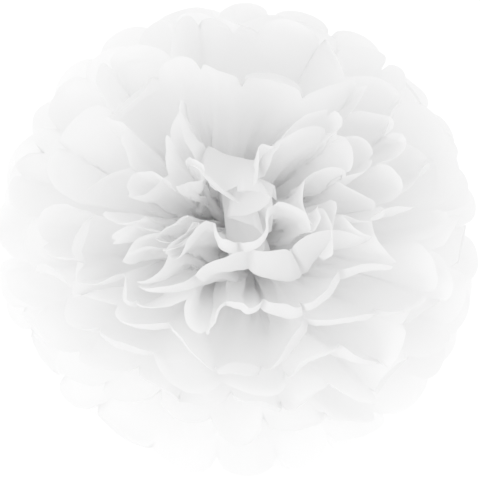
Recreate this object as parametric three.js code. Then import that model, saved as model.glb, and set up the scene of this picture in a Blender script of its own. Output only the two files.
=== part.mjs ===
// A tissue paper pom pom, 250 mm across, resting on a table.
// Fourteen tissue sheets are pleated together, tied with wire across the middle, and cut round at
// both ends. Each sheet then opens to a left and a right half-fan, and the sheets are pulled apart
// from one another like the leaves of a book until they fill a ball. Seven go up, seven go down.
// Millimetres and radians, +Z up, origin on the table under the middle of the ball.
import * as THREE from "three";

const DEGREE = Math.PI / 180;

// The stack of sheets
const SHEETS = 14;
const PANELS = 12; // pleat panels across a sheet, so 13 fold lines with the two side edges
const PANEL_WIDTH = 32.5; // of the flat sheet
const SHEET_LENGTH = 250; // of the flat sheet, from scallop to scallop
const SCALLOP_DEPTH = 9; // the round end of each panel, from its middle back to its corners
const PAPER = 0.4; // the thickness of the solid, far more than tissue's own

// The neck, where the wire holds the stack. Its outer sheets are the smallest there, because the
// sheets that turn away from the stack nest inside one another.
const NECK_HALF_WIDTH = 4.5; // of the top and bottom sheets, across the pleats, along X
const NECK_HALF_LENGTH = 2.3; // of the top and bottom sheets, along Y
const NECK_PITCH = 0.75; // from sheet to sheet, along Z
const NECK_HEIGHT = 107.5; // above the table

// The fans
const STEEPEST = 76 * DEGREE; // of the top sheet above level, and of the bottom sheet below it
const FAN_SPREAD = 181.6 * DEGREE; // of a half-fan, whose side edges lean in to meet the other's
const SWING_LIMIT = 0.3; // of a fold line above or below its sheet's own slope
const SIDE_LEAN = 5 * DEGREE; // most that a level sheet's fold lines lean round the ball at the rim
const SIDE_LEAN_STEP = 2.4; // turns that lean from sheet to sheet, so that scallops don't line up
const FLOOR_BEND = 8; // radius where a low sheet turns outward along the table
const FLOOR_LAYERS = 3; // sheets that reach the table
const FLOOR_PITCH = 0.8; // from one of these to the next one lying on it

// Distances out along a fan where its fold lines have a corner
const FAN_ROWS = [0, 20, 60, 103];
const FLOOR_FAN_ROWS = [0, 20, 60, 96, 103, 109];
const SCALLOP_CORNERS = [-1, -0.5, 0.5, 1]; // across a panel

// The wire
const WIRE_RADIUS = 0.5;
const WIRE_CLEARANCE = 0.35;
const WIRE_TURNS = 2;
const WIRE_SQUARENESS = 0.42; // of a turn's outline: 1 is an ellipse, and 0 is a rectangle
const WIRE_SPREAD = 1.15; // from one turn to the next
const WIRE_ARC_STEPS = 4; // in half a section
const TAIL_LENGTH = 20;
const TAIL_TWISTS = 3;
const TAIL_RADIUS = 0.62;

const PAPER_COLOUR = 0xf7f7f5;
const WIRE_COLOUR = 0xb9bcc0;

const slopeStep = (2 * STEEPEST) / (SHEETS - 1);
const panelAngle = FAN_SPREAD / PANELS;

// How much further out than the outer sheets' own edge a sheet of this slope leaves the neck, so
// that sheets which turn away one after the other stay a pitch apart
function nesting(slope) {
  return ((2 * NECK_PITCH) / slopeStep) * Math.log(Math.cos(slope / 2) / Math.cos(STEEPEST / 2));
}

// Everything that is different from one sheet to the next
function sheetFacts(index) {
  const slope = index * slopeStep - STEEPEST;
  return {
    slope,
    nest: nesting(slope),
    neckHeight: NECK_HEIGHT + (index - (SHEETS - 1) / 2) * NECK_PITCH,
    reach: SHEET_LENGTH / 2 - NECK_HALF_LENGTH - nesting(slope),
    floor: PAPER / 2 + Math.min(index, FLOOR_LAYERS) * FLOOR_PITCH,
    rows: index < FLOOR_LAYERS ? FLOOR_FAN_ROWS : FAN_ROWS,
    lean: [1, -1].map(
      (side) => SIDE_LEAN * Math.cos(slope) * Math.sin(SIDE_LEAN_STEP * index + side),
    ),
  };
}

// Half the height of the pleats at a distance out along a sheet. A panel keeps its width, so where
// there is less room round the ball its two fold lines stand further apart in height.
function pleatHeight(sheet, reach) {
  const room = (NECK_HALF_WIDTH + sheet.nest + reach * Math.cos(sheet.slope)) * panelAngle;
  const spare = Math.sqrt(Math.max(PANEL_WIDTH ** 2 - room ** 2, 0)) / 2;
  return { room, height: Math.min(spare, SWING_LIMIT * reach) };
}

// Follows a line that leaves the neck at an angle: straight, and where it meets the table round a
// bend and out along it. Gives the distance outward, the height, and the direction there.
function followLine(angle, reach, drop) {
  const straight = {
    out: reach * Math.cos(angle),
    up: reach * Math.sin(angle),
    direction: angle,
  };
  const toCorner = angle < 0 ? drop / Math.sin(-angle) : Infinity;
  const bendStart = toCorner - FLOOR_BEND * Math.tan(-angle / 2);
  if (reach <= bendStart) return straight;
  const turned = (reach - bendStart) / FLOOR_BEND;
  if (turned < -angle) {
    const direction = angle + turned;
    return {
      out: bendStart * Math.cos(angle) + FLOOR_BEND * (Math.sin(direction) - Math.sin(angle)),
      up: FLOOR_BEND * (1 - Math.cos(direction)) - drop,
      direction,
    };
  }
  const cornerOut = toCorner * Math.cos(angle) + FLOOR_BEND * Math.tan(-angle / 2);
  return { out: cornerOut + reach - bendStart + FLOOR_BEND * angle, up: -drop, direction: 0 };
}

// A point of a sheet's half-fan: across runs from 0 to PANELS, side is 1 for +Y and -1 for -Y
function fanPoint(sheet, side, across, reach) {
  const fold = Math.abs((across % 2) - 1) * 2 - 1; // 1 on one fold line, -1 on the next
  const { room, height } = pleatHeight(sheet, reach);
  const angle = sheet.slope + (reach > 0 ? (fold * height) / reach : 0);
  const share = (reach / sheet.reach) ** 2;
  const sideways = sheet.lean[side > 0 ? 0 : 1] * share * Math.sin((Math.PI * across) / PANELS);
  const turn = Math.PI / 2 + (across - PANELS / 2) * panelAngle + sideways;
  const line = followLine(angle, reach, sheet.neckHeight - sheet.floor);
  const atNeck = reach === 0;
  const tilt = atNeck ? angle / 2 : line.direction;
  const pleated = (line.direction / angle) * ((2 * height) / room); // 0 where it lies on the table
  const mitre = atNeck ? 1 / Math.cos(tilt) : Math.hypot(1, pleated);
  return {
    position: new THREE.Vector3(
      (NECK_HALF_WIDTH + sheet.nest + line.out) * Math.cos(turn),
      side * (NECK_HALF_LENGTH + (sheet.nest + line.out) * Math.sin(turn)),
      sheet.neckHeight + line.up,
    ),
    offset: new THREE.Vector3(
      -Math.sin(tilt) * Math.cos(turn),
      -side * Math.sin(tilt) * Math.sin(turn),
      Math.cos(tilt),
    ).multiplyScalar((PAPER / 2) * mitre),
  };
}

// Closes a surface to a solid: its points moved both ways by their offsets, and a wall at each edge
function thickened(points, triangles) {
  const positions = [];
  for (const way of [1, -1]) {
    for (const { position, offset } of points) {
      positions.push(...position.clone().addScaledVector(offset, way));
    }
  }
  const below = points.length;
  const index = [];
  const edges = new Map();
  for (const [a, b, c] of triangles) {
    index.push(a, b, c, below + a, below + c, below + b);
    for (const [from, to] of [[a, b], [b, c], [c, a]]) {
      if (!edges.delete(`${to} ${from}`)) edges.set(`${from} ${to}`, [from, to]);
    }
  }
  for (const [from, to] of edges.values()) {
    index.push(from, below + from, to, to, below + from, below + to);
  }
  const geometry = new THREE.BufferGeometry();
  geometry.setAttribute("position", new THREE.Float32BufferAttribute(positions, 3));
  geometry.setIndex(index);
  geometry.computeVertexNormals();
  return geometry;
}

function sheetGeometry(sheet) {
  const points = [];
  const triangles = [];
  const add = (side, across, reach) => points.push(fanPoint(sheet, side, across, reach)) - 1;
  const face = (side, a, b, c) => triangles.push(side > 0 ? [a, b, c] : [a, c, b]);
  const necks = [1, -1].map((side) => {
    const rows = sheet.rows.map((reach) =>
      Array.from({ length: PANELS + 1 }, (_, fold) => add(side, fold, reach)),
    );
    rows.slice(1).forEach((row, r) => {
      for (let panel = 0; panel < PANELS; panel++) {
        const inner = rows[r];
        face(side, inner[panel], row[panel], row[panel + 1]);
        face(side, inner[panel], row[panel + 1], inner[panel + 1]);
      }
    });
    const last = rows.at(-1);
    let corner = add(side, 0, sheet.reach - SCALLOP_DEPTH);
    for (let panel = 0; panel < PANELS; panel++) {
      const rim = SCALLOP_CORNERS.map((x) => {
        if (x === -1) return corner;
        const depth = SCALLOP_DEPTH * (1 - Math.sqrt(1 - x * x));
        return add(side, panel + (x + 1) / 2, sheet.reach - depth);
      });
      corner = rim.at(-1);
      const middle = rim.length / 2;
      rim.slice(1).forEach((next, i) => {
        face(side, i < middle - 1 ? last[panel] : last[panel + 1], rim[i], next);
      });
      face(side, last[panel], rim[middle - 1], last[panel + 1]);
    }
    return rows[0];
  });
  for (let panel = 0; panel < PANELS; panel++) {
    const [front, back] = necks;
    triangles.push([front[panel + 1], back[panel + 1], back[panel]]);
    triangles.push([front[panel + 1], back[panel], front[panel]]);
  }
  return thickened(points, triangles);
}

// Two turns round the neck, and the two ends twisted together between the half-fans
function wireGeometry() {
  const paperHeight = ((SHEETS - 1) * NECK_PITCH + PAPER) / 2;
  const across = NECK_HALF_WIDTH + nesting(0) + WIRE_CLEARANCE + WIRE_RADIUS;
  const up = paperHeight + WIRE_CLEARANCE + WIRE_RADIUS;
  const rounded = (value) => Math.sign(value) * Math.abs(value) ** WIRE_SQUARENESS;
  const stepsPerTurn = 20;
  const opening = 1.5; // steps left out where the ends meet the tail
  const loop = [];
  for (let step = opening; step <= WIRE_TURNS * stepsPerTurn - opening; step++) {
    const angle = (step / stepsPerTurn) * 2 * Math.PI;
    loop.push(
      new THREE.Vector3(
        across * rounded(Math.cos(angle)),
        (step / stepsPerTurn - WIRE_TURNS / 2) * WIRE_SPREAD,
        NECK_HEIGHT + up * rounded(Math.sin(angle)),
      ),
    );
  }
  const tailStart = across + 2 * WIRE_RADIUS + WIRE_CLEARANCE;
  const tailSteps = 6 * TAIL_TWISTS;
  const strand = (side) =>
    Array.from({ length: tailSteps + 1 }, (_, step) => {
      const angle = (step / tailSteps) * TAIL_TWISTS * 2 * Math.PI;
      return new THREE.Vector3(
        tailStart + (step / tailSteps) * TAIL_LENGTH,
        side * TAIL_RADIUS * Math.cos(angle),
        NECK_HEIGHT + side * TAIL_RADIUS * Math.sin(angle),
      );
    });
  const path = new THREE.CatmullRomCurve3([...strand(-1).reverse(), ...loop, ...strand(1)]);
  const section = new THREE.Shape();
  section.absarc(0, 0, WIRE_RADIUS, 0, 2 * Math.PI);
  return new THREE.ExtrudeGeometry(section, {
    extrudePath: path,
    steps: path.points.length,
    curveSegments: WIRE_ARC_STEPS,
    bevelEnabled: false,
  });
}

const tissue = new THREE.MeshStandardMaterial({
  color: PAPER_COLOUR,
  roughness: 0.9,
  metalness: 0,
  side: THREE.DoubleSide,
});
const steel = new THREE.MeshStandardMaterial({
  color: WIRE_COLOUR,
  roughness: 0.4,
  metalness: 1,
});

const pomPom = new THREE.Group();
pomPom.name = "tissue_pom_pom";
for (let index = 0; index < SHEETS; index++) {
  const sheet = new THREE.Mesh(sheetGeometry(sheetFacts(index)), tissue);
  sheet.name = `tissue_sheet_${String(index + 1).padStart(2, "0")}`;
  pomPom.add(sheet);
}
const wireTie = new THREE.Mesh(wireGeometry(), steel);
wireTie.name = "wire_tie";
pomPom.add(wireTie);

export default pomPom;
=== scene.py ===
"""A white tissue paper pom pom, seen from above: fourteen pleated sheets tied at the neck.

Every sheet is one surface. Its fold lines run out from the neck like ribs, and the paper between
two of them is a panel with a round end. All lengths are in metres and angles in degrees, until
they reach the functions that turn them into points.
"""

import math

import bpy
import numpy as np
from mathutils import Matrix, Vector


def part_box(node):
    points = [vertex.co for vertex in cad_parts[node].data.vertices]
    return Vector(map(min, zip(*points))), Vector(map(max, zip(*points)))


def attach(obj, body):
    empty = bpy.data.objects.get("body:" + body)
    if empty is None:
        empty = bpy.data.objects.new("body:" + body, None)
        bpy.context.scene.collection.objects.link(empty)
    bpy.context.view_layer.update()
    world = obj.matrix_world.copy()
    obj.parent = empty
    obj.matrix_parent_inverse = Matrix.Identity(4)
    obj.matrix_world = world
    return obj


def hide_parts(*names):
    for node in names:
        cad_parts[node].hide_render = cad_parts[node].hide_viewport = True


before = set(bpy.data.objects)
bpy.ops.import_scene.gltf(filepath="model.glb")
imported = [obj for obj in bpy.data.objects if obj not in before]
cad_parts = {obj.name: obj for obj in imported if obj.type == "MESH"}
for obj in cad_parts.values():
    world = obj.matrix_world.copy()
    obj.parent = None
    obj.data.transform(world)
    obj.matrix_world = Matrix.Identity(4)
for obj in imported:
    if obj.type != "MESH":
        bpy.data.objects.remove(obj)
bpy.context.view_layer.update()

# The stack, as it was cut and pleated
SHEET_NODES = sorted(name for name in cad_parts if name.startswith("tissue_sheet"))
SHEETS = len(SHEET_NODES)
PANELS = 12
PANEL_WIDTH = 0.0325
SHEET_LENGTH = 0.250
SCALLOP_DEPTH = 0.009

# The neck, where the wire holds the stack
WIRE_LOW, WIRE_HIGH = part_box("wire_tie")
NECK_HEIGHT = (WIRE_LOW[2] + WIRE_HIGH[2]) / 2
NECK_HALF_WIDTH = 0.0045
NECK_HALF_LENGTH = 0.0023
NECK_PITCH = 0.00075

# The fans
STEEPEST = 76
FAN_SPREAD = 181.6
SLOPE_STEP = 2 * STEEPEST / (SHEETS - 1)
PANEL_ANGLE = FAN_SPREAD / PANELS
SWING_LIMIT = 0.3  # radians, of a fold line above or below its sheet's own slope near the neck
SEAM_DRIFT = 7  # degrees, most that the seam of a lower sheet's two half-fans strays at the rim
LEFT_ALONE = 80  # degrees, elevation above which no line is turned up from the sheet below
HIGHEST = 88  # degrees, elevation to which a line may be turned up

# The table, which the lowest sheets lie on
FLOOR_SHEETS = 4
FLOOR_GAP = 0.0002
FLOOR_BEND = 0.008  # radius that a sheet bends with where it meets the table

# The paper's surface
MOST_GATHERED = 2.6  # times its own width, most that a row of points is lengthened
GATHERS = 2  # waves in a panel
DENT_HEIGHT = 0.0016
CREASE_HEIGHT = 0.0003

# The mesh
CELLS = 12  # across a panel
ROWS = 96  # along a panel, a third of them in its last fifth
SHEET_GAP = 0.0007  # least distance kept between neighbouring sheets
FOLDS = np.arange(PANELS + 1)
COLUMNS = np.linspace(0, PANELS, PANELS * CELLS + 1)  # where a row's points are, in panels

# The camera, which looks down at the neck
CAMERA_TILT = 78
CAMERA_DISTANCE = 0.9
CAMERA_LENS = 126.5
CAMERA_AIM = (0.0018, -0.001, NECK_HEIGHT)

# Where the fold lines of the topmost half-sheets, and of more of them in front, were set to end,
# one by one: (azimuth, elevation) on the ball.
# Azimuth 0 is +X and 90 is +Y, the back. The first fold line is the one nearest azimuth 0.
# The key is a sheet's index from the bottom, and its side, 1 for +Y and -1 for -Y.
POSED = {
    (13, 1): [
        (-30, 70), (5, 77), (0, 66), (33, 66), (46, 79), (62, 84), (80, 78),
        (98, 85), (118, 78), (140, 85), (158, 78), (172, 84), (186, 78),
    ],
    (12, 1): [
        (-8, 57), (5, 69), (14, 56), (27, 69), (42, 61), (50, 75), (54, 79),
        (124, 75), (119, 65), (142, 71), (170, 76), (184, 66), (180, 77),
    ],
    (11, 1): [
        (-2, 50), (12, 58), (24, 46), (37, 58), (44, 46), (56, 60), (88, 61),
        (104, 57), (121, 53), (150, 53), (146, 63), (168, 67), (182, 53),
    ],
    (13, -1): [
        (357, 70), (319, 64), (350, 73), (327, 71), (335, 82), (270, 75), (235, 80),
        (226, 68), (233, 81), (219, 68), (223, 81), (210, 69), (207, 79),
    ],
    (12, -1): [
        (357, 56), (350, 68), (340, 56), (311, 62), (274, 70), (247, 66), (222, 57),
        (223, 70), (213, 59), (211, 72), (202, 60), (198, 72), (185, 61),
    ],
    (11, -1): [
        (360, 46), (352, 58), (338, 48), (322, 57), (300, 54), (281, 61), (264, 63),
        (259, 56), (248, 64), (230, 52), (215, 58), (203, 47), (185, 56),
    ],
    (10, -1): [
        (362, 35), (350, 44), (337, 32), (320, 42), (300, 50), (278, 44), (262, 44),
        (243, 52), (222, 49), (210, 42), (200, 50), (190, 39), (180, 48),
    ],
    (9, -1): [
        (362, 26), (350, 34), (337, 24), (325, 36), (313, 28), (305, 43), (287, 38),
        (266, 42), (243, 45), (223, 39), (208, 43), (196, 32), (181, 38),
    ],
    (8, -1): [
        (362, 14), (349, 22), (335, 12), (321, 24), (308, 20), (297, 33), (283, 30),
        (269, 36), (254, 32), (240, 37), (223, 31), (206, 25), (190, 19),
    ],
    (7, -1): [
        (362, 2), (348, 9), (334, 1), (320, 9), (306, 9), (292, 19), (278, 25),
        (263, 26), (248, 30), (233, 24), (217, 23), (201, 15), (186, 8),
    ],
}

# How the rims of those half-sheets curl, panel by panel: (length in mm, degrees inward)
CURLS = {
    (13, 1): [
        (8, 20), (8, -20), (12, -50), (8, -30), (14, 20), (40, 110), (66, 170),
        (66, 170), (50, 130), (24, 30), (14, 20), (8, 20),
    ],
    (12, 1): [
        (8, 20), (8, 0), (8, 20), (8, -20), (8, 20), (14, 40), (38, 105),
        (14, 30), (10, 0), (10, -10), (10, 20), (8, 20),
    ],
    (11, 1): [
        (8, 20), (8, -20), (8, 20), (8, 0), (8, 20), (9, 120), (8, 10),
        (8, -10), (8, 10), (10, 0), (10, 10), (12, 30),
    ],
    (13, -1): [
        (6, 20), (6, 0), (6, 20), (6, 10), (10, 50), (14, 60), (8, 20),
        (6, 0), (6, 0), (6, 0), (6, 10), (10, 30),
    ],
    (12, -1): [
        (8, 10), (8, 20), (26, 60), (36, 85), (14, 60), (12, 50), (8, 20),
        (8, 0), (6, 20), (6, 0), (8, 10), (8, 20),
    ],
    (11, -1): [
        (8, 20), (8, 10), (8, 40), (20, 60), (16, 50), (12, 60), (8, 20),
        (8, -20), (10, 20), (14, 60), (8, 10), (8, 30),
    ],
    (10, -1): [
        (8, 10), (8, 10), (12, 60), (20, 70), (20, 60), (10, 20), (14, 50),
        (14, 60), (10, 30), (8, 0), (8, 20), (8, 10),
    ],
    (9, -1): [
        (8, 10), (8, 20), (8, 0), (8, 10), (9, 50), (18, 75), (10, 30),
        (10, 20), (13, 105), (8, 20), (8, 10), (8, 20),
    ],
    (8, -1): [
        (8, 10), (8, 20), (8, 0), (8, 10), (9, 20), (10, 70), (12, 95),
        (8, 30), (12, 90), (9, 40), (8, 10), (8, 20),
    ],
    (7, -1): [
        (8, 10), (8, 20), (8, 0), (8, 10), (9, 20), (12, 80), (9, 30),
        (12, 85), (10, 60), (8, 20), (8, 10), (8, 20),
    ],
}

# How much higher than its slope the middle of a lower half-sheet on the -Y side lies, in degrees
LIFTED = {6: 12, 5: 6, 4: 2}


def random_for(*key):
    """A source of random numbers that is the same for this key in every run."""
    return np.random.default_rng([11, *[int(k) % 2**31 for k in key]])


def smooth(t):
    """Rises gently from 0 to 1 as t does, and stays there on both sides."""
    t = np.clip(t, 0, 1)
    return t * t * (3 - 2 * t)


def unit(v):
    """Vectors scaled to length 1."""
    return v / (np.linalg.norm(v, axis=-1, keepdims=True) + 1e-12)


def direction(azimuth, elevation):
    """Unit vectors from angles in degrees."""
    a, e = np.broadcast_arrays(np.radians(azimuth), np.radians(elevation))
    return np.stack([np.cos(e) * np.cos(a), np.cos(e) * np.sin(a), np.sin(e)], axis=-1)


def between(a, b, share):
    """Points on the great circle from direction a to direction b."""
    angle = np.arccos(np.clip((a * b).sum(-1), -1, 1))[..., None]
    share = np.asarray(share)[..., None]
    near = angle < 1e-4
    safe = np.where(near, 1.0, angle)
    bent = (np.sin((1 - share) * safe) * a + np.sin(share * safe) * b) / np.sin(safe)
    return np.where(near, (1 - share) * a + share * b, bent)


def soften(grid, passes):
    """Evens a grid out along its second axis, with its two ends held."""
    for _ in range(passes):
        grid[:, 1:-1] = (grid[:, :-2] + 2 * grid[:, 1:-1] + grid[:, 2:]) / 4
    return grid


def waves(u, length, rng, count, longest, shortest):
    """Sums a few sine waves over the flat half-sheet, about 1 high, with lengths in metres."""
    total = np.zeros(np.broadcast(u, length).shape)
    for _ in range(count):
        size = longest * (shortest / longest) ** rng.random()
        way, phase = rng.uniform(0, 2 * np.pi, 2)
        along = u * PANEL_WIDTH * np.cos(way) + length * np.sin(way)
        total += (size / longest) * np.sin(2 * np.pi * along / size + phase)
    return total / count**0.5


class Sheet:
    """What a sheet's place in the stack settles: its slope, its neck and its reach."""

    def __init__(self, index):
        half = math.radians(index * SLOPE_STEP - STEEPEST) / 2
        step, steepest = math.radians(SLOPE_STEP), math.radians(STEEPEST) / 2
        self.index = index
        self.slope = index * SLOPE_STEP - STEEPEST
        self.nest = 2 * NECK_PITCH / step * math.log(math.cos(half) / math.cos(steepest))
        self.reach = SHEET_LENGTH / 2 - NECK_HALF_LENGTH - self.nest
        self.neck = NECK_HEIGHT + (index - (SHEETS - 1) / 2) * NECK_PITCH


def swing_at(sheet, reach):
    """How far, in degrees, pleats of the full panel width swing above and below the slope."""
    out = NECK_HALF_WIDTH + sheet.nest + reach * math.cos(math.radians(sheet.slope))
    room = math.radians(PANEL_ANGLE) * out
    spare = np.sqrt(np.maximum(PANEL_WIDTH**2 - room**2, 0)) / 2
    return np.degrees(np.minimum(spare / np.maximum(reach, 1e-5), SWING_LIMIT))


def straight_folds(side):
    """Azimuths of a half-fan's fold lines where they leave the neck."""
    return side * (90 + (FOLDS - PANELS / 2) * PANEL_ANGLE)


def straight_columns(side):
    """The same for every column of points."""
    return np.interp(COLUMNS, FOLDS, straight_folds(side))


def fallen_ends(sheet, side):
    """Where the fold lines end on a half-sheet that fell open by itself: some panels lie open,
    side by side, and others stay folded together. How far they swing up and down is found by
    halving, so that the panels' steps round the ball add up to the fan."""
    rng = random_for(sheet.index, side + 5)
    count = PANELS + 1
    width = math.degrees(PANEL_WIDTH / (sheet.reach - SCALLOP_DEPTH))
    wave = np.sin(FOLDS * rng.uniform(0.9, 1.5) + rng.uniform(0, 6))
    wave = wave + rng.normal(0, 0.6, count)
    openness = np.clip(0.5 + 0.5 * wave, 0, 1)
    shape = (1.15 - openness) * rng.uniform(0.8, 1.2, count) * np.where(FOLDS % 2, -1, 1)
    sag = 3.0 * np.sin(FOLDS * rng.uniform(0.4, 0.9) + rng.uniform(0, 6))
    drift = sheet.slope + sag + rng.normal(0, 0.8, count)
    seam = random_for(sheet.index, 77).uniform(-SEAM_DRIFT, SEAM_DRIFT, 2)
    front = POSED.get((sheet.index, -1))
    if front:  # the seam is where the half-sheet opposite ends
        seam = np.array([front[0][0] - 360, front[-1][0] - 180])
    spread = PANELS * PANEL_ANGLE + side * (seam[1] - seam[0])
    if side < 0:
        drift += LIFTED.get(sheet.index, 0) * np.sin(np.pi * FOLDS / PANELS) ** 2

    def rise_and_steps(swing):
        rise = drift + np.clip(swing * shape, -0.46 * width, 0.46 * width)
        level = np.sqrt(np.maximum(width**2 - np.diff(rise) ** 2, 4))
        return rise, level / np.cos(np.radians((rise[1:] + rise[:-1]) / 2))

    low, high = 0, 40
    for _ in range(30):
        swing = (low + high) / 2
        steps = rise_and_steps(swing)[1]
        low, high = (swing, high) if steps.sum() > spread else (low, swing)
    rise, steps = rise_and_steps(low)
    steps = steps * (spread / steps.sum())
    start = 90 - PANELS / 2 * PANEL_ANGLE + side * seam[0]
    azimuth = start + np.concatenate([[0], np.cumsum(steps)])
    lean = 4 * math.cos(math.radians(sheet.slope)) * rng.uniform(-1, 1)
    azimuth = azimuth + lean * np.sin(np.pi * FOLDS / PANELS)
    return side * azimuth, rise


def half_fan(sheet, side):
    """Directions from the neck and reaches of a half-fan's points, by rows from the neck."""
    rng = random_for(sheet.index, side + 5, 1)
    if (sheet.index, side) in POSED:
        ends = np.array(POSED[sheet.index, side], float)
        azimuth, rise = ends[:, 0], ends[:, 1]
    else:
        azimuth, rise = fallen_ends(sheet, side)
    panel = np.minimum(COLUMNS.astype(int), PANELS - 1)
    x = COLUMNS - panel
    across = 2 * x - 1
    across = across + rng.uniform(-0.3, 0.3, PANELS)[panel] * (1 - across**2)
    depth = SCALLOP_DEPTH * rng.uniform(0.8, 1.2, PANELS)[panel]
    rim = sheet.reach - depth * (1 - np.sqrt(np.clip(1 - across**2, 0, 1)))
    split = ROWS * 2 // 3
    outer = np.linspace(0.8, 1, ROWS + 2 - split)[1:]
    rows = np.concatenate([np.linspace(0, 0.8, split), outer])
    reach = rows[:, None] * rim[None, :]

    t = reach / sheet.reach
    way = np.zeros(reach.shape + (3,))
    swing = swing_at(sheet, reach)
    weight = smooth((t - 0.1) / 0.8)
    straight = straight_folds(side)
    ends = direction(azimuth, rise)
    bulge = rng.uniform(-1, 1, PANELS)
    for i in range(PANELS):
        here = panel == i
        lines = []
        for j in (i, i + 1):
            up = 1 if j % 2 == 0 else -1
            base = direction(
                np.broadcast_to(straight[j], t[:, here].shape),
                sheet.slope + up * swing[:, here],
            )
            lines.append(between(base, np.broadcast_to(ends[j], base.shape), weight[:, here]))
        share = np.broadcast_to(x[here], t[:, here].shape)
        flat = between(lines[0], lines[1], share)
        chord = np.linalg.norm(lines[1] - lines[0], axis=-1)
        width = PANEL_WIDTH / np.maximum(reach[:, here], 0.01)
        camber = np.sqrt(3 * chord * np.clip(width - chord, 0, None) / 8)
        camber = np.minimum(camber, 0.28 * chord) * bulge[i] * 4 * share * (1 - share)
        normal = unit(np.cross(lines[0], lines[1]))
        way[:, here] = flat + normal * camber[..., None]
    way = unit(soften(unit(way), int(rng.integers(2, 7))))
    way[0] = way[1]
    return way, reach


def angles(way):
    """Azimuth and elevation of directions, in degrees."""
    azimuth = np.degrees(np.arctan2(way[..., 1], way[..., 0]))
    elevation = np.degrees(np.arcsin(np.clip(way[..., 2], -1, 1)))
    return azimuth, elevation


def keep_apart(lower, upper, side):
    """Turns an upper half-fan's directions up where they come too near the sheet below."""
    azimuth, elevation = angles(upper[0])
    low_azimuth, low_elevation = angles(lower[0])
    azimuth, low_azimuth = azimuth * side, low_azimuth * side
    azimuth = np.where(azimuth < -90, azimuth + 360, azimuth)
    low_azimuth = np.where(low_azimuth < -90, low_azimuth + 360, low_azimuth)
    base = np.arange(PANELS * CELLS + 1)
    fine = np.linspace(0, PANELS * CELLS, PANELS * CELLS * 4 + 1)
    for row in range(2, ROWS + 1):
        a = np.interp(fine, base, low_azimuth[row])
        e = np.interp(fine, base, low_elevation[row])
        order = np.argsort(a)
        floor = np.interp(azimuth[row], a[order], e[order])
        gap = np.degrees(SHEET_GAP / np.maximum(upper[1][row], 0.004))
        short = np.clip(floor + gap - elevation[row], 0, None)
        short = np.where(elevation[row] > LEFT_ALONE, 0, short)
        elevation[row] = np.minimum(elevation[row] + short, HIGHEST)
    lifted = direction(azimuth * side, elevation)
    changed = (elevation > angles(upper[0])[1] + 1e-9)[..., None]
    upper[0][:] = np.where(changed, lifted, upper[0])


def on_table(angle, reach, drop):
    """Distance outward and height along lines that leave the neck at an angle, bend where they
    meet the table, and run out along it."""
    out, up = reach * np.cos(angle), reach * np.sin(angle)
    down = np.clip(-angle, 1e-3, None)
    corner = drop / np.sin(down)
    start = corner - FLOOR_BEND * np.tan(down / 2)
    turned = (reach - start) / FLOOR_BEND
    bending = (angle < 0) & (turned > 0)
    way = np.minimum(turned - down, 0)
    bend_out = start * np.cos(down) + FLOOR_BEND * (np.sin(way) + np.sin(down))
    bend_up = FLOOR_BEND * (1 - np.cos(way)) - drop
    flat = np.clip(turned - down, 0, None) * FLOOR_BEND
    return np.where(bending, bend_out + flat, out), np.where(bending, bend_up, up)


def to_points(sheet, side, fan):
    """A half-fan's points, from the neck outward, with the lowest ones bent along the table."""
    way, reach = fan
    azimuth, elevation = angles(way)
    floor = FLOOR_GAP + SHEET_GAP * min(sheet.index, FLOOR_SHEETS)
    out, up = on_table(np.radians(elevation), reach, sheet.neck - floor)
    level = np.radians(azimuth)
    base = np.radians(straight_columns(side))
    return np.stack(
        [
            (NECK_HALF_WIDTH + sheet.nest) * np.cos(base) + out * np.cos(level),
            side * NECK_HALF_LENGTH + sheet.nest * np.sin(base) + out * np.sin(level),
            sheet.neck + up,
        ],
        axis=-1,
    )


def normals(points):
    """Each point's surface normal, and the direction outward along its column."""
    along = np.gradient(points, axis=0)
    across = np.gradient(points, axis=1)
    return unit(np.cross(across, along)), unit(along)


def gather(sheet, side, points):
    """Waves each row of points until it is as long as the flat paper, where the folds alone
    leave it shorter: near the neck, and where the lowest sheets lie on the table."""
    steps = np.linalg.norm(np.diff(points, axis=1), axis=-1)
    width = steps.reshape(len(points), PANELS, CELLS).sum(-1)
    ratio = np.clip(PANEL_WIDTH / np.maximum(width, 1e-5), 1, MOST_GATHERED)
    height = np.sqrt(2 * (ratio**2 - 1)) * width / (2 * np.pi * GATHERS)
    height = soften(height.T.copy(), 10).T
    height = np.stack([np.interp(COLUMNS, np.arange(PANELS) + 0.5, row) for row in height])
    normal, _ = normals(points)
    inward = direction(straight_columns(side), sheet.slope + 90)
    facing = (normal * inward).sum(-1, keepdims=True)
    normal = normal * np.where(facing < 0, -1, 1)
    on_floor = smooth(1.5 - points[..., 2] / np.maximum(height, 1e-5))
    shape = np.sin(2 * np.pi * GATHERS * COLUMNS)[None, :] + on_floor
    out = np.linspace(0, 1, len(points))[:, None]
    if sheet.index >= FLOOR_SHEETS:
        height = height * (1 - 0.85 * smooth((out - 0.3) / 0.35))
    return points + normal * (height * shape)[..., None]


def curl_of(sheet, side, rng):
    """The curl's length and angle at each column, and how far each scallop is folded over."""
    centres = np.arange(PANELS) + 0.5
    tip = np.where(rng.random(PANELS) < 0.15, rng.uniform(60, 120, PANELS), 0)
    if (sheet.index, side) in CURLS:
        length, turn = np.array(CURLS[sheet.index, side], float).T
        turn = turn + rng.normal(0, 8, PANELS)
        tip = np.where(turn > 35, 0, tip) * (sheet.index < SHEETS - 2)
    else:
        length = 6 + 16 * rng.random(PANELS) ** 2
        turn = rng.normal(22, 30, PANELS)
    length = soften(np.interp(COLUMNS, centres, length)[None, :], 20)[0] / 1000
    turn = soften(np.interp(COLUMNS, centres, turn)[None, :], 20)[0]
    tip = tip[np.minimum(COLUMNS.astype(int), PANELS - 1)]
    return length, np.radians(turn), np.radians(tip)


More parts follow.
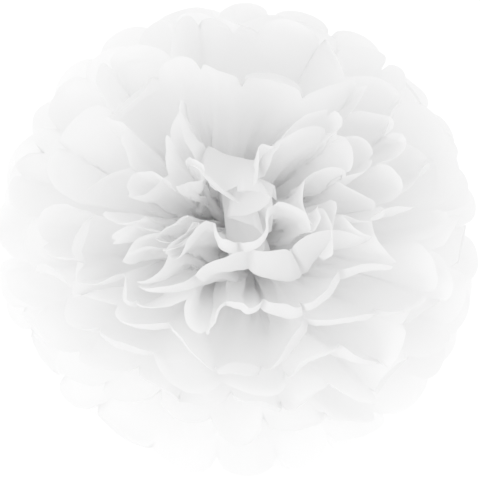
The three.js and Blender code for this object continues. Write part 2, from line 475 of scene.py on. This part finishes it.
def crumple(sheet, side, points, reach):
    """Adds the soft dents and creases of thin paper, then curls the rim."""
    rng = random_for(sheet.index, side + 5, 2)
    t = reach / sheet.reach
    points = gather(sheet, side, points)
    normal, _ = normals(points)
    dents = DENT_HEIGHT * waves(COLUMNS, reach, rng, 10, 0.060, 0.025) * smooth(t)
    dents += CREASE_HEIGHT * waves(COLUMNS, reach, rng, 16, 0.014, 0.006) * smooth(t)
    points = points + normal * dents[..., None]
    normal, along = normals(points)

    length, turn, tip = curl_of(sheet, side, rng)
    rim = reach[-1]
    columns = np.arange(len(COLUMNS))
    first = np.array([np.searchsorted(reach[:, c], rim[c] - length[c]) for c in columns])
    first = np.clip(first - 1, 1, ROWS - 2)
    inward = direction(straight_columns(side), sheet.slope + 90)
    a = unit(soften(along[first, columns][None].copy(), 4)[0])
    n = normal[first, columns]
    facing = (n * inward).sum(-1, keepdims=True)
    n = n * np.where(facing < 0, -1, 1) + 0.4 * inward
    n = unit(soften(n[None].copy(), 6)[0])
    n = unit(n - a * (n * a).sum(-1, keepdims=True))
    strength = soften(np.clip(np.abs(facing[None, :, 0]) * 1.8, 0.25, 1), 6)[0]

    start = rim - length
    bend = turn * strength * np.clip((reach - start) / length, 0, 1)
    crease = sheet.reach - SCALLOP_DEPTH * 0.85
    bend += tip * smooth((reach - crease) / 0.0035)
    middle = (bend[1:] + bend[:-1])[..., None] / 2
    step = np.diff(reach, axis=0)[..., None]
    moved = step * (np.cos(middle) * a + np.sin(middle) * n)
    for c in columns:
        f = first[c]
        points[f + 1 :, c] = points[f, c] + np.cumsum(moved[f:, c], axis=0)
    points[..., 2] = np.maximum(points[..., 2], FLOOR_GAP * (1 + sheet.index))
    return points


def sheet_object(sheet, front, back):
    """One mesh from the rim of the +Y half-fan, over the neck, to the rim of the -Y half-fan."""
    columns = PANELS * CELLS + 1
    grid = np.concatenate([front[::-1], back])
    rows = grid.shape[0]
    corner = (np.arange(rows - 1)[:, None] * columns + np.arange(columns - 1)).reshape(-1)
    faces = np.stack([corner, corner + columns, corner + columns + 1, corner + 1], axis=1)
    mesh = bpy.data.meshes.new(f"paper_{sheet.index + 1:02d}")
    mesh.from_pydata(grid.reshape(-1, 3).tolist(), [], faces.tolist())
    mesh.polygons.foreach_set("use_smooth", np.ones(len(faces), bool))
    obj = bpy.data.objects.new(mesh.name, mesh)
    bpy.context.scene.collection.objects.link(obj)
    return obj


def set_inputs(node, values):
    """Sets a node's sockets by name, and gives the node back."""
    for name, value in values.items():
        node.inputs[name].default_value = value
    return node


def tissue_material():
    """Thin white tissue: half of the light comes back and half goes through."""
    material = bpy.data.materials.new("tissue_paper")
    material.use_nodes = True
    nodes, links = material.node_tree.nodes, material.node_tree.links
    nodes.clear()
    white = {"Color": (0.985, 0.985, 0.985, 1)}
    output = nodes.new("ShaderNodeOutputMaterial")
    paper = nodes.new("ShaderNodeMixShader")
    paper.inputs[0].default_value = 0.5
    front = set_inputs(nodes.new("ShaderNodeBsdfDiffuse"), white)
    through = set_inputs(nodes.new("ShaderNodeBsdfTranslucent"), white)
    place = nodes.new("ShaderNodeTexCoord")
    creases = set_inputs(nodes.new("ShaderNodeTexNoise"), {"Scale": 110, "Detail": 2})
    bump = set_inputs(nodes.new("ShaderNodeBump"), {"Strength": 0.3, "Distance": 0.001})
    links.new(place.outputs["Object"], creases.inputs["Vector"])
    links.new(creases.outputs["Fac"], bump.inputs["Height"])
    links.new(bump.outputs["Normal"], front.inputs["Normal"])
    links.new(front.outputs[0], paper.inputs[1])
    links.new(through.outputs[0], paper.inputs[2])
    links.new(paper.outputs[0], output.inputs["Surface"])
    return material


def wire_material():
    """Plain galvanised craft wire: dull grey steel, a little cloudy, with fine drawing marks."""
    material = bpy.data.materials.new("tie_wire")
    material.use_nodes = True
    nodes, links = material.node_tree.nodes, material.node_tree.links
    steel = set_inputs(nodes["Principled BSDF"], {"Metallic": 1})
    place = nodes.new("ShaderNodeTexCoord")
    clouds = set_inputs(nodes.new("ShaderNodeTexNoise"), {"Scale": 900, "Detail": 3})
    colour = nodes.new("ShaderNodeValToRGB")
    dark, light = colour.color_ramp.elements
    dark.position, dark.color = 0.3, (0.50, 0.51, 0.53, 1)
    light.position, light.color = 0.7, (0.70, 0.71, 0.73, 1)
    dullness = set_inputs(nodes.new("ShaderNodeMapRange"), {"To Min": 0.32, "To Max": 0.5})
    marks = set_inputs(nodes.new("ShaderNodeBump"), {"Strength": 0.2, "Distance": 0.0001})
    links.new(place.outputs["Object"], clouds.inputs["Vector"])
    links.new(clouds.outputs["Fac"], colour.inputs["Fac"])
    links.new(clouds.outputs["Fac"], dullness.inputs["Value"])
    links.new(clouds.outputs["Fac"], marks.inputs["Height"])
    links.new(colour.outputs["Color"], steel.inputs["Base Color"])
    links.new(dullness.outputs["Result"], steel.inputs["Roughness"])
    links.new(marks.outputs["Normal"], steel.inputs["Normal"])
    return material


def build_sheets():
    """Makes the sheets from the bottom up, each half-fan kept above the one below it."""
    paper = tissue_material()
    below = None
    for index in range(SHEETS):
        sheet = Sheet(index)
        fans = {side: half_fan(sheet, side) for side in (1, -1)}
        if below:
            for side in (1, -1):
                keep_apart(below[side], fans[side], side)
        below = fans
        halves = [
            crumple(sheet, side, to_points(sheet, side, fans[side]), fans[side][1])
            for side in (1, -1)
        ]
        obj = sheet_object(sheet, *halves)
        obj.data.materials.append(paper)
        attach(obj, "root")
        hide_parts(SHEET_NODES[index])


def stage():
    """A white floor that gives off some light of its own, so that it shows as plain white."""
    size = 6
    corners = [(-size, -size, 0), (size, -size, 0), (size, size, 0), (-size, size, 0)]
    mesh = bpy.data.meshes.new("floor")
    mesh.from_pydata(corners, [], [(0, 1, 2, 3)])
    floor = bpy.data.objects.new("floor", mesh)
    bpy.context.scene.collection.objects.link(floor)
    material = bpy.data.materials.new("white_floor")
    material.use_nodes = True
    values = {
        "Base Color": (0.5, 0.5, 0.5, 1),
        "Roughness": 1,
        "Specular IOR Level": 0,
        "Emission Color": (1, 1, 1, 1),
        "Emission Strength": 0.9,
    }
    set_inputs(material.node_tree.nodes["Principled BSDF"], values)
    mesh.materials.append(material)


def add_facing(obj, target):
    """Puts a light or a camera in the scene, turned to face a point."""
    obj.rotation_euler = (target - obj.location).to_track_quat("-Z", "Y").to_euler()
    bpy.context.scene.collection.objects.link(obj)


def light_and_camera():
    """Soft white light from all round and one weak lamp, the camera, and a bright, pale grade."""
    world = bpy.data.worlds.new("studio")
    bpy.context.scene.world = world
    world.use_nodes = True
    dome = {"Color": (1, 1, 1, 1), "Strength": 0.65}
    set_inputs(world.node_tree.nodes["Background"], dome)
    light = bpy.data.lights.new("key", "AREA")
    light.energy = 4.5
    light.size = 0.8
    key = bpy.data.objects.new("key", light)
    key.location = (-0.7, -0.7, 1.1)
    add_facing(key, Vector((0, 0, NECK_HEIGHT)))

    camera = bpy.data.cameras.new("camera")
    camera.lens = CAMERA_LENS
    eye = bpy.data.objects.new("camera", camera)
    tilt = math.radians(CAMERA_TILT)
    centre = Vector(CAMERA_AIM)
    eye.location = centre + CAMERA_DISTANCE * Vector((0, -math.cos(tilt), math.sin(tilt)))
    add_facing(eye, centre)
    bpy.context.scene.camera = eye
    bpy.context.scene.view_settings.view_transform = "Standard"
    bpy.context.scene.view_settings.gamma = 2.5


build_sheets()
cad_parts["wire_tie"].material_slots[0].material = wire_material()
stage()
light_and_camera()
